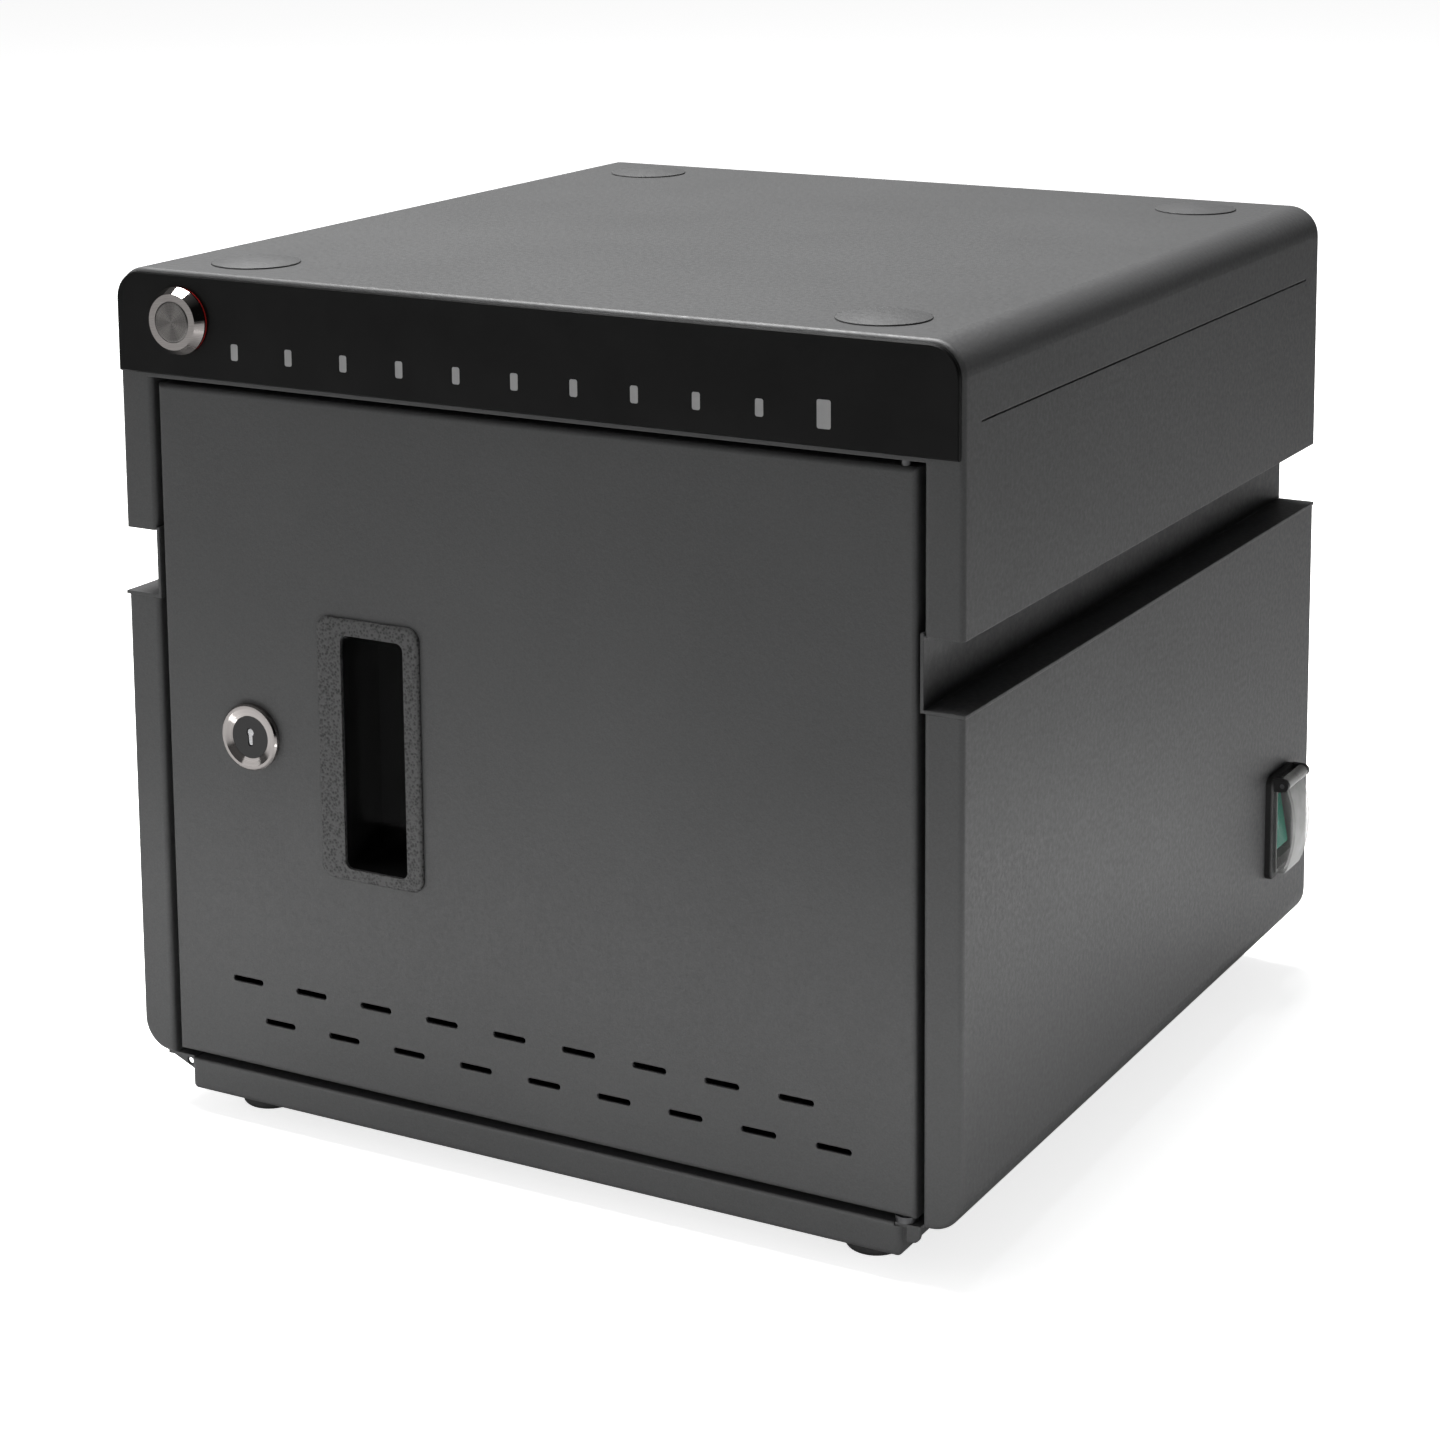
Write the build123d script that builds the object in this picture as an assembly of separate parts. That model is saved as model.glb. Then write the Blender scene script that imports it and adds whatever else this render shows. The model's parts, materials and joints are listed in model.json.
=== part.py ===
from build123d import *
import os

# Desktop charging cabinet, about 358 x 354 x 328 mm, millimetres, +Z up, front faces -Y.
# Built with x = 0 on the centre line, y = 0 on the front plane and z = 0 under the side walls,
# then moved so that the origin is the bottom centre of the whole object's box.

# Sheet-metal body
BODY_W = 346.0
BODY_H = 304.0
SHELL_D = 341.6
SHEET = 1.2
CORNER_R = 12.0
BEND_R = 2.0
GRIP_H = 24.6
GRIP_BOTTOM_Z = 180.3
GRIP_WELD_H = 8.0
LEDGE_LIP = 0.6
STILE_W = 14.5
HEADER_H = 40.8
RETURN_D = 18.0
HEADER_RETURN_D = 20.0
REAR_FLANGE = 14.0
SIDE_FOOT_W = 13.9
SEAM_DOWN = 28.1
SEAM_Y0 = 12.8
SEAM_END = 13.6
SEAM_W = 0.6
SEAM_DEPTH = 0.5
SEAM_HOOK = 2.4

# Base pan, feet and pads
PAN_INSET = 22.6
PAN_Y0 = 0.0
PAN_BOTTOM_Z = -12.4
PAN_RAIL_TOP_Z = -0.2
PAN_RAIL_END = 2.6
LUG_W = 12.6
LUG_H = 5.4
LUG_HOLE_IN = 2.3
LUG_HOLE_DOWN = 2.4
LUG_HOLE_R = 1.4
RAIL_FLANGE = 12.0
RAIL_BEND_R = 1.1
FLOOR_Z = -21.5
FOOT_R = 11.0
FOOT_ROUND = 2.5
FOOT_SIDE = 20.4
FOOT_INSET = 22.5
FOOT_RECESS_R = 6.0
FOOT_RECESS_D = 3.5
SCREW_R = 2.0
SCREW_HEAD_R = 4.0
SCREW_HEAD_H = 2.4
SCREW_SLOT_W = 1.0
SCREW_SLOT_D = 1.0
SCREW_HEAD_ROUND = 1.2
SCREW_CROSS_L = 4.4
SCREW_CROSS_W = 0.9
SCREW_REACH = 4.2
FOOT_SCREW_TOP = 4.0
PAD_R = 16.5
PAD_H = 2.4
PAD_EDGE_H = 0.5
PAD_INSET = 28.0

# Front fascia and its lights
FASCIA_T = 2.0
FASCIA_INSET = 1.2
FASCIA_STRIP = 1.8
FASCIA_BEVEL = 0.5
LIGHT_COUNT = 10
LIGHT_IN = 55.0
LIGHT_PITCH = 24.1
LIGHT_UP = 11.1
LIGHT_W = 3.1
LIGHT_H = 6.1
LIGHT_R = 0.8
POWER_W = 5.2
POWER_H = 9.8
LIGHT_D = 5.0

# Start button
BUTTON_IN = 30.4
BUTTON_DOWN = 18.0
BUTTON_HOLE_R = 9.4
RING_R = 12.4
RING_T = 0.8
BEZEL_R = 12.6
BEZEL_NOSE_R = 10.4
BEZEL_EDGE_T = 0.7
BEZEL_OUT = 6.7
CAP_R = 7.6
CAP_PROUD = 0.2
CAP_L = 8.0
CAP_TRAVEL = 1.5
CAP_EDGE_R = 0.6
BARREL_L = 22.0
NUT_T = 4.0
NUT_R = 13.0
RUN_FIT = 0.08

# Door
DOOR_SIDE_GAP = 2.6
DOOR_TOP_GAP = 2.2
DOOR_Z0 = 2.4
DOOR_D = 14.0
HINGE_IN = 5.2
HINGE_Y = 3.6
PIN_R = 2.0
PIN_L = 11.0
WASHER_R = 4.0
WASHER_SHIFT = 0.6
WASHER_GAP = 0.2
BRACKET_GAP = 0.2
BRACKET_SIDE_GAP = 1.0
BRACKET_Y0 = 0.6
BRACKET_Y1 = 30.0
BRACKET_TAB_W = 5.0
BRACKET_TAB_H = 6.2
BRACKET_TAB_R = 3.0
VENT_COUNT = 9
VENT_PITCH = 29.1
VENT_IN = 33.8
VENT_ROW_SHIFT = 14.4
VENT_L = 13.8
VENT_H = 2.3
VENT_UP = 18.8
VENT_ROW_GAP = 14.6

# Flush pull cup
CUP_IN = 70.4
CUP_W = 44.6
CUP_UP = 81.0
CUP_H = 98.6
CUP_FRAME_T = 1.6
CUP_FRAME_R = 5.0
CUP_FRAME_ROUND = 1.2
CUP_EDGE_L = 10.8
CUP_EDGE_R = 6.4
CUP_EDGE_LOW = 4.6
CUP_EDGE_TOP = 6.0
CUP_OPEN_R = 3.0
CUP_WALL = 1.6
CUP_DEPTH = 22.0

# Cam lock
LOCK_IN = 39.2
LOCK_UP = 129.2
LOCK_BODY_R = 9.4
LOCK_RIM_R = 12.6
LOCK_RIM_T = 2.4
LOCK_RIM_FLAT = 1.7
LOCK_RIM_BEVEL = 0.6
LOCK_FACE_R = 8.0
LOCK_FACE_SINK = 1.0
LOCK_FACE_T = 3.0
LOCK_CORE_R = 6.0
LOCK_BODY_L = 20.0
LOCK_NUT_R = 14.0
CAM_T = 2.5
CAM_GAP = 0.5
CAM_W = 16.0
CAM_REACH = 47.0
KEYHOLE_W = 2.0
KEYHOLE_H = 7.0
KEYHOLE_D = 10.0
KEYHOLE_EYE_R = 1.6
CAM_SCREW_H = 2.0
CAM_SCREW_R = 5.0

# Rocker switch with its splash cover, on the right side wall
SWITCH_FROM_BACK = 35.6
SWITCH_Z = 53.0
SWITCH_W = 29.0
SWITCH_H = 43.0
SWITCH_CORNER_R = 3.0
SWITCH_EDGE_R = 1.0
SWITCH_PROUD = 3.0
SWITCH_BODY_W = 22.0
SWITCH_BODY_H = 32.0
SWITCH_BODY_IN = 22.0
SWITCH_WELL_GAP = 0.5
SWITCH_WELL_FLOOR = 4.0
ROCKER_W = 16.0
ROCKER_H = 25.0
ROCKER_T = 8.0
ROCKER_TILT = 10.0
ROCKER_PIVOT_IN = 4.0
ROCKER_AXLE_R = 1.5
ROCKER_AXLE_L = 20.0
ROCKER_ROOM = 1.5
ROCKER_EDGE_R = 1.5
COVER_W = 21.0
COVER_OUT = 11.0
COVER_WALL = 1.2
COVER_GAP = 0.4
COVER_ROUND = 2.4
COVER_BOW = 4.0
COVER_HINGE_UP = 19.0
COVER_HINGE_OUT = 6.4
COVER_DROP = 38.0
COVER_BARREL_R = 2.6
COVER_PIN_R = 1.0
COVER_EAR_W = 2.2
COVER_EAR_GAP = 0.3
COVER_EAR_LAP = 1.0

# Inside: bay floor, dividers, ports, electronics
BAY_Y0 = 22.0
PARTITION_FROM_BACK = 79.6
FLOOR_SIDE_GAP = 0.4
FLOOR_BACK_GAP = 2.0
BAY_SLOTS = 10
AIR_SLOT_L = 14.0
AIR_SLOT_H = 5.0
AIR_SLOT_UP = 20.0
DIVIDER_T = 2.0
DIVIDER_Y0 = 34.0
DIVIDER_END_GAP = 26.0
DIVIDER_H = 150.0
DIVIDER_CORNER_R = 40.0
COMB_H = 8.0
COMB_D = 10.0
COMB_BASE = 2.0
COMB_IN = 26.0
STRIP_SIDE_GAP = 9.0
STRIP_DOWN = 63.2
STRIP_H = 26.0
STRIP_D = 14.0
PORT_W = 9.0
PORT_H = 3.4
PORT_WALL = 0.4
PORT_D = 8.0
PORT_LIP = 0.4
PORT_BACK_T = 1.0
PORT_TONGUE_T = 0.8
PORT_TONGUE_GAP = 1.2
STRIP_EDGE_R = 2.0
SUPPLY_IN = 27.0
SUPPLY_W = 190.0
SUPPLY_GAP = 4.8
SUPPLY_D = 60.0
SUPPLY_H = 110.0
SUPPLY_WALL = 1.5
BOARD_W = 240.0
BOARD_Y0 = 40.0
BOARD_D = 90.0
CHIP_IN = 20.0
CHIP_W = 60.0
CHIP_D = 30.0
CHIP_H = 12.0
BOARD_T = 1.6
STANDOFF_R = 3.0
STANDOFF_H = 8.0

# Back panel and mains inlet
BACK_T = 1.2
BACK_INSET = 0.4
BACK_VENT_COUNT = 9
BACK_VENT_PITCH = 9.0
BACK_VENT_W = 3.0
BACK_VENT_H = 46.0
BACK_VENT_X = 70.0
BACK_VENT_DOWN = 72.0
INLET_IN = 63.0
INLET_Z = 54.5
INLET_FLANGE_W = 50.0
INLET_FLANGE_H = 28.0
INLET_FLANGE_T = 2.4
INLET_BODY_W = 28.0
INLET_BODY_H = 20.0
INLET_BODY_D = 24.0
INLET_CAVITY_W = 24.6
INLET_CAVITY_H = 16.4
INLET_CAVITY_D = 17.0
INLET_CAVITY_CUT = 4.0
INLET_CORNER_R = 6.0
INLET_PIN_W = 2.0
INLET_PIN_H = 4.0
INLET_PIN_L = 14.0
INLET_PIN_X = 7.0
INLET_EARTH_Z = 2.5
INLET_SCREW_R = 2.6
INLET_SCREW_H = 1.4

# What follows from the sizes above
HALF_W = BODY_W / 2
GRIP_DEPTH = STILE_W
OPENING_W = BODY_W - 2 * STILE_W
GRIP_TOP_Z = GRIP_BOTTOM_Z + GRIP_H
HEADER_Z = BODY_H - HEADER_H
SIDE_FOOT_X = OPENING_W / 2 - SIDE_FOOT_W
SEAM_Z = BODY_H - SEAM_DOWN
SEAM_Y1 = SHELL_D - SEAM_END
PAN_HALF_W = HALF_W - PAN_INSET
PAN_RAIL_END_X = PAN_HALF_W - PAN_RAIL_END
FOOT_X = PAN_HALF_W - FOOT_SIDE
FASCIA_BOTTOM_Z = HEADER_Z + FASCIA_STRIP
LIGHT_X0 = -HALF_W + LIGHT_IN
LIGHT_Z = FASCIA_BOTTOM_Z + LIGHT_UP
BUTTON_X = -HALF_W + BUTTON_IN
BUTTON_Z = BODY_H - BUTTON_DOWN
DOOR_HALF_W = OPENING_W / 2 - DOOR_SIDE_GAP
DOOR_Z1 = HEADER_Z - DOOR_TOP_GAP
HINGE_X = DOOR_HALF_W - HINGE_IN
BRACKET_X0 = PAN_RAIL_END_X + BRACKET_GAP
BRACKET_X1 = OPENING_W / 2 - BRACKET_SIDE_GAP
VENT_X0 = -DOOR_HALF_W + VENT_IN
VENT_Z_LOWER = DOOR_Z0 + VENT_UP
VENT_Z_UPPER = VENT_Z_LOWER + VENT_ROW_GAP
CUP_X0 = -DOOR_HALF_W + CUP_IN
CUP_X1 = CUP_X0 + CUP_W
CUP_Z0 = DOOR_Z0 + CUP_UP
CUP_Z1 = CUP_Z0 + CUP_H
CUP_OPEN_X0 = CUP_X0 + CUP_EDGE_L
CUP_OPEN_X1 = CUP_X1 - CUP_EDGE_R
CUP_OPEN_Z0 = CUP_Z0 + CUP_EDGE_LOW
CUP_OPEN_Z1 = CUP_Z1 - CUP_EDGE_TOP
LOCK_X = -DOOR_HALF_W + LOCK_IN
LOCK_Z = DOOR_Z0 + LOCK_UP
SWITCH_Y = SHELL_D - SWITCH_FROM_BACK
PARTITION_Y = SHELL_D - PARTITION_FROM_BACK
BOARD_HALF_W = BOARD_W / 2
BOARD_Y1 = BOARD_Y0 + BOARD_D
BACK_VENT_Z = BODY_H - BACK_VENT_DOWN
INLET_X = HALF_W - INLET_IN
NECK_X = HALF_W - GRIP_DEPTH
NECK_IN_X = NECK_X - SHEET
LEDGE_UNDER_Z = GRIP_BOTTOM_Z - SHEET
FLOOR_TOP_Z = 2 * SHEET
SHELF_Z = HEADER_Z + SHEET
FLOOR_HALF_W = NECK_IN_X - FLOOR_SIDE_GAP
DIVIDER_Y1 = PARTITION_Y - DIVIDER_END_GAP
STRIP_HALF_W = FLOOR_HALF_W - STRIP_SIDE_GAP
STRIP_Z0 = HEADER_Z - STRIP_DOWN
SUPPLY_X0 = -FLOOR_HALF_W + SUPPLY_IN
SUPPLY_X1 = SUPPLY_X0 + SUPPLY_W
SUPPLY_Y0 = PARTITION_Y + SHEET + SUPPLY_GAP
SUPPLY_Y1 = SUPPLY_Y0 + SUPPLY_D
BACK_Y = SHELL_D + BACK_T
CUT = 5.0
ROCKER_X = HALF_W - ROCKER_PIVOT_IN
COVER_HINGE_X = HALF_W + COVER_HINGE_OUT
COVER_HINGE_Z = SWITCH_Z + COVER_HINGE_UP
BOX_X0 = -HALF_W - LEDGE_LIP
BOX_X1 = HALF_W + COVER_OUT
BOX_Y0 = -BEZEL_OUT - CAP_PROUD
BOX_Y1 = BACK_Y + INLET_FLANGE_T + INLET_SCREW_H
TO_ORIGIN = (-(BOX_X0 + BOX_X1) / 2, -(BOX_Y0 + BOX_Y1) / 2, -FLOOR_Z)


def block(x0, x1, y0, y1, z0, z1):
    mid = Pos((x0 + x1) / 2, (y0 + y1) / 2, (z0 + z1) / 2)
    return mid * Box(x1 - x0, y1 - y0, z1 - z0)


def prism_y(face, y0, y1):
    # face is drawn in x, z and runs from y0 to y1
    plane = Plane(origin=(0, y1, 0), x_dir=(1, 0, 0), z_dir=(0, -1, 0))
    return extrude(plane * face, y1 - y0)


def prism_x(face, x0, x1):
    # face is drawn in y, z and runs from x0 to x1
    plane = Plane(origin=(x0, 0, 0), x_dir=(0, 1, 0), z_dir=(1, 0, 0))
    return extrude(plane * face, x1 - x0)


def rod_y(r, x, z, y0, y1):
    return Pos(x, (y0 + y1) / 2, z) * Rot(90, 0, 0) * Cylinder(r, y1 - y0)


def rod_z(r, x, y, z0, z1):
    return Pos(x, y, (z0 + z1) / 2) * Cylinder(r, z1 - z0)


def cone_y(r_front, r_back, x, z, y0, y1):
    # Rot(90) sends the cone's +Z end to -Y, the front
    return Pos(x, (y0 + y1) / 2, z) * Rot(90, 0, 0) * Cone(r_back, r_front, y1 - y0)


def hexagon_y(r, x, z, y0, y1):
    return prism_y(Pos(x, z) * RegularPolygon(r, 6), y0, y1)


def rounded_top(inset):
    # outline of the upper box with its two rounded top corners
    w = BODY_W - 2 * inset
    z0 = GRIP_TOP_Z + inset
    z1 = BODY_H - inset
    face = Pos(0, (z0 + z1) / 2) * Rectangle(w, z1 - z0)
    corners = face.vertices().filter_by(lambda v: v.Y > (z0 + z1) / 2)
    return fillet(corners, CORNER_R - inset)


def rounded_bottom(inset, z_top):
    # outline of the lower box with its two rounded bottom corners
    w = BODY_W - 2 * inset
    face = Pos(0, (inset + z_top) / 2) * Rectangle(w, z_top - inset)
    corners = face.vertices().filter_by(lambda v: v.Y < (inset + z_top) / 2)
    return fillet(corners, CORNER_R - inset)


def front_bend(solid, z_low, z_high):
    # rounds the front edges of an envelope between two heights
    edges = [
        e
        for e in solid.edges()
        if abs(e.center().Y) < 0.01 and z_low < e.center().Z < z_high
    ]
    return fillet(edges, BEND_R)


def stile_bend(s, z0, z1):
    # what is cut away to round the upright front edge beside the door; s = 1 right, -1 left
    near, far = s * (OPENING_W / 2 - BEND_R), s * (OPENING_W / 2 + BEND_R)
    corner = block(min(near, far), max(near, far), -BEND_R, BEND_R, z0, z1)
    return corner - rod_z(BEND_R, far, BEND_R, z0, z1) - block(min(far, 2 * far), max(far, 2 * far), -CUT, CUT, z0, z1)


def light_positions():
    return [LIGHT_X0 + i * LIGHT_PITCH for i in range(LIGHT_COUNT)]


def power_x():
    return LIGHT_X0 + LIGHT_COUNT * LIGHT_PITCH


def light_block(x, w, h, y0, y1):
    return prism_y(Pos(x, LIGHT_Z) * RectangleRounded(w, h, LIGHT_R), y0, y1)


def all_light_holes(y0, y1):
    holes = [light_block(x, LIGHT_W, LIGHT_H, y0, y1) for x in light_positions()]
    holes.append(light_block(power_x(), POWER_W, POWER_H, y0, y1))
    return holes


def rear_screw_points():
    # x, z of the back panel's screws, mid-way across the rear flange
    x = HALF_W - REAR_FLANGE / 2
    z_top = BODY_H - REAR_FLANGE / 2
    points = [(sx * BODY_W / 4, z_top) for sx in (-1, 1)]
    for sx in (-1, 1):
        points.append((sx * x, GRIP_TOP_Z + 2 * REAR_FLANGE))
        points.append((sx * x, GRIP_BOTTOM_Z - 2 * REAR_FLANGE))
        points.append((sx * x, 2 * REAR_FLANGE))
    return points


def rear_screw_holes():
    return [rod_y(SCREW_R, x, z, SHELL_D - CUT, BACK_Y + CUT) for x, z in rear_screw_points()]


def upper_shell():
    outer = front_bend(prism_y(rounded_top(0), 0, SHELL_D), GRIP_TOP_Z + 1, BODY_H + 1)
    shell = outer - prism_y(rounded_top(SHEET), SHEET, SHELL_D - SHEET)
    shell -= block(-NECK_X, NECK_X, -CUT, SHELL_D + CUT, GRIP_TOP_Z - CUT, GRIP_TOP_Z + SHEET)
    half_open = OPENING_W / 2
    shell -= block(-half_open, half_open, -CUT, SHEET + CUT, GRIP_TOP_Z + SHEET, HEADER_Z)
    rear_x = HALF_W - REAR_FLANGE
    rear_top = BODY_H - REAR_FLANGE
    shell -= block(-rear_x, rear_x, SHELL_D - CUT, SHELL_D + CUT, GRIP_TOP_Z + SHEET, rear_top)
    for s in (-1, 1):
        x_in, x_out = sorted((s * half_open, s * (half_open + SHEET)))
        shell += block(x_in, x_out, 0, RETURN_D, GRIP_TOP_Z, HEADER_Z + SHEET)
        x_in, x_out = sorted((s * (HALF_W - SEAM_DEPTH), s * (HALF_W + CUT)))
        seam_top = SEAM_Z + SEAM_W / 2
        shell -= block(x_in, x_out, SEAM_Y0, SEAM_Y1, seam_top - SEAM_W, seam_top)
        shell -= block(x_in, x_out, SEAM_Y1 - SEAM_W, SEAM_Y1, seam_top - SEAM_HOOK, seam_top)
    shell += block(-half_open - SHEET, half_open + SHEET, 0, HEADER_RETURN_D, HEADER_Z, SHELF_Z)
    for s in (-1, 1):
        shell -= stile_bend(s, GRIP_TOP_Z - CUT, HEADER_Z)
    for hole in all_light_holes(-CUT, SHEET + CUT):
        shell -= hole
    shell -= rod_y(BUTTON_HOLE_R, BUTTON_X, BUTTON_Z, -CUT, SHEET + CUT)
    shell -= rod_z(PIN_R, HINGE_X, HINGE_Y, HEADER_Z - CUT, SHELF_Z)
    for hole in rear_screw_holes():
        shell -= hole
    return shell


def grip_channel(s):
    # inner wall and lower ledge of one hand groove, welded inside the upper shell
    x_in, x_out = sorted((s * NECK_IN_X, s * NECK_X))
    channel = block(x_in, x_out, 0, SHELL_D - SHEET, LEDGE_UNDER_Z, GRIP_TOP_Z + SHEET)
    channel += block(x_in, x_out, RETURN_D, SHELL_D - SHEET, GRIP_TOP_Z, GRIP_TOP_Z + GRIP_WELD_H)
    x_in, x_out = sorted((s * NECK_IN_X, s * (HALF_W + LEDGE_LIP)))
    return channel + block(x_in, x_out, 0, SHELL_D, LEDGE_UNDER_Z, GRIP_BOTTOM_Z)


def side_panel(s):
    # s = 1 is the right wall, s = -1 the left wall
    outline = prism_y(rounded_bottom(0, LEDGE_UNDER_Z), 0, SHELL_D)
    wall = front_bend(outline, -1, LEDGE_UNDER_Z - 1)
    wall -= prism_y(rounded_bottom(SHEET, LEDGE_UNDER_Z + CUT), SHEET, SHELL_D - SHEET)
    middle = SIDE_FOOT_X
    wall -= block(-middle, middle, -CUT, SHELL_D + CUT, -CUT, BODY_H)
    far, near = sorted((-s * middle, -s * BODY_W))
    wall -= block(far, near, -CUT, SHELL_D + CUT, -CUT, BODY_H)
    half_open = OPENING_W / 2
    wall -= block(-half_open, half_open, -CUT, HEADER_RETURN_D, -CUT, BODY_H)
    rear_x = HALF_W - REAR_FLANGE
    wall -= block(-rear_x, rear_x, SHELL_D - 2 * SHEET, SHELL_D + CUT, SHEET, BODY_H)
    x_in, x_out = sorted((s * half_open, s * (half_open + SHEET)))
    wall += block(x_in, x_out, 0, RETURN_D, SHEET, LEDGE_UNDER_Z)
    wall -= stile_bend(s, -CUT, LEDGE_UNDER_Z + CUT)
    for hole in rear_screw_holes():
        wall -= hole
    if s > 0:
        half_w = SWITCH_BODY_W / 2
        half_h = SWITCH_BODY_H / 2
        y0, y1 = SWITCH_Y - half_w, SWITCH_Y + half_w
        wall -= block(HALF_W - CUT, HALF_W + CUT, y0, y1, SWITCH_Z - half_h, SWITCH_Z + half_h)
    return wall


def foot_points():
    back = SHELL_D - FOOT_INSET
    return [(sx * FOOT_X, y) for sx in (-1, 1) for y in (FOOT_INSET, back)]


def base_pan():
    y1 = SHELL_D - PAN_Y0
    pan = block(-PAN_HALF_W, PAN_HALF_W, PAN_Y0, y1, PAN_BOTTOM_Z, 0)
    low = [e for e in pan.edges() if abs(e.center().Z - PAN_BOTTOM_Z) < 0.01]
    pan = fillet(low + list(pan.edges().filter_by(Axis.Z)), BEND_R)
    inner_x = PAN_HALF_W - SHEET
    pan -= block(-inner_x, inner_x, PAN_Y0 + SHEET, y1 - SHEET, PAN_BOTTOM_Z + SHEET, CUT)
    pan -= block(-inner_x, inner_x, 0, PAN_Y0 + SHEET, PAN_RAIL_TOP_Z, CUT)
    pan -= block(PAN_RAIL_END_X, PAN_HALF_W + CUT, 0, BRACKET_Y1, -SHEET, CUT)
    # sloping lug at the left end of the front rail, with its see-through hole
    lug_top = PAN_RAIL_TOP_Z
    far = -PAN_HALF_W - LUG_W
    lug = Polygon((far, lug_top), (-PAN_HALF_W, lug_top - LUG_H), (-inner_x, lug_top - LUG_H), (-inner_x, lug_top), align=None)
    pan += prism_y(lug, PAN_Y0 + BEND_R, PAN_Y0 + BEND_R + SHEET)
    pan -= rod_y(LUG_HOLE_R, -PAN_HALF_W - LUG_HOLE_IN, lug_top - LUG_HOLE_DOWN, PAN_Y0, PAN_Y0 + CUT)
    # flat top of the lug and top flange of the rail, the flange with a rounded front edge
    flat_z = lug_top - SHEET
    pan += block(far, -inner_x, PAN_Y0 + BEND_R, HEADER_RETURN_D, flat_z, lug_top)
    pan += block(-inner_x, PAN_RAIL_END_X, PAN_Y0, PAN_Y0 + RAIL_FLANGE, flat_z, lug_top)
    low_z = lug_top - RAIL_BEND_R
    edge = block(-PAN_HALF_W, PAN_HALF_W, PAN_Y0, PAN_Y0 + RAIL_BEND_R, low_z, lug_top)
    bar = Pos(0, PAN_Y0 + RAIL_BEND_R, low_z) * Rot(0, 90, 0) * Cylinder(RAIL_BEND_R, BODY_W)
    pan -= edge - bar
    for x, y in foot_points():
        pan -= rod_z(SCREW_R, x, y, PAN_BOTTOM_Z - CUT, PAN_BOTTOM_Z + CUT)
    return pan


def foot(x, y):
    body = rod_z(FOOT_R, x, y, FLOOR_Z, PAN_BOTTOM_Z)
    low = [e for e in body.edges() if abs(e.center().Z - FLOOR_Z) < 0.01]
    body = fillet(low, FOOT_ROUND)
    body -= rod_z(FOOT_RECESS_R, x, y, FLOOR_Z - CUT, FLOOR_Z + FOOT_RECESS_D)
    return body - rod_z(SCREW_R, x, y, FLOOR_Z, PAN_BOTTOM_Z)


def foot_screw(x, y):
    head_z = FLOOR_Z + FOOT_RECESS_D
    screw = rod_z(SCREW_R, x, y, head_z, PAN_BOTTOM_Z + FOOT_SCREW_TOP)
    screw += rod_z(SCREW_HEAD_R, x, y, head_z - SCREW_HEAD_H, head_z)
    half = SCREW_SLOT_W / 2
    z1 = head_z - SCREW_HEAD_H + SCREW_SLOT_D
    return screw - block(x - SCREW_HEAD_R, x + SCREW_HEAD_R, y - half, y + half, z1 - CUT, z1)


def top_pad(x, y):
    # shallow dome on a low straight edge
    rise = PAD_H - PAD_EDGE_H
    ball_r = (PAD_R**2 + rise**2) / (2 * rise)
    ball = Pos(x, y, BODY_H + PAD_H - ball_r) * Sphere(ball_r)
    return rod_z(PAD_R, x, y, BODY_H, BODY_H + PAD_H) & ball


def pad_points():
    back = SHELL_D - PAD_INSET
    return [(sx * FOOT_X, y) for sx in (-1, 1) for y in (PAD_INSET, back)]


def front_fascia():
    z1 = BODY_H - FASCIA_INSET
    w = BODY_W - 2 * FASCIA_INSET
    face = Pos(0, (FASCIA_BOTTOM_Z + z1) / 2) * Rectangle(w, z1 - FASCIA_BOTTOM_Z)
    corners = face.vertices().filter_by(lambda v: v.Y > (FASCIA_BOTTOM_Z + z1) / 2)
    face = fillet(corners, CORNER_R - FASCIA_INSET)
    plate = prism_y(face, -FASCIA_T, 0)
    rim = [e for e in plate.edges() if abs(e.center().Y + FASCIA_T) < 0.01]
    plate = chamfer(rim, FASCIA_BEVEL)
    for hole in all_light_holes(-FASCIA_T - CUT, CUT):
        plate -= hole
    return plate - rod_y(BUTTON_HOLE_R, BUTTON_X, BUTTON_Z, -CUT, CUT)


def status_windows():
    y1 = LIGHT_D - FASCIA_T
    return [light_block(x, LIGHT_W, LIGHT_H, -FASCIA_T, y1) for x in light_positions()]


def power_window():
    return light_block(power_x(), POWER_W, POWER_H, -FASCIA_T, LIGHT_D - FASCIA_T)


def button_ring():
    ring = rod_y(RING_R, BUTTON_X, BUTTON_Z, -FASCIA_T - RING_T, -FASCIA_T)
    return ring - rod_y(BUTTON_HOLE_R, BUTTON_X, BUTTON_Z, -CUT - FASCIA_T, CUT)


def button_bezel():
    y_back = -FASCIA_T - RING_T
    y_edge = y_back - BEZEL_EDGE_T
    body = rod_y(BUTTON_HOLE_R, BUTTON_X, BUTTON_Z, y_back, BARREL_L)
    body += rod_y(BEZEL_R, BUTTON_X, BUTTON_Z, y_edge, y_back)
    body += cone_y(BEZEL_NOSE_R, BEZEL_R, BUTTON_X, BUTTON_Z, -BEZEL_OUT, y_edge)
    bore_end = -BEZEL_OUT + CAP_L + CAP_TRAVEL + RUN_FIT
    return body - rod_y(CAP_R + RUN_FIT, BUTTON_X, BUTTON_Z, -BEZEL_OUT - CUT, bore_end)


def button_nut():
    nut = hexagon_y(NUT_R, BUTTON_X, BUTTON_Z, SHEET, SHEET + NUT_T)
    return nut - rod_y(BUTTON_HOLE_R, BUTTON_X, BUTTON_Z, 0, SHEET + NUT_T + CUT)


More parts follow.
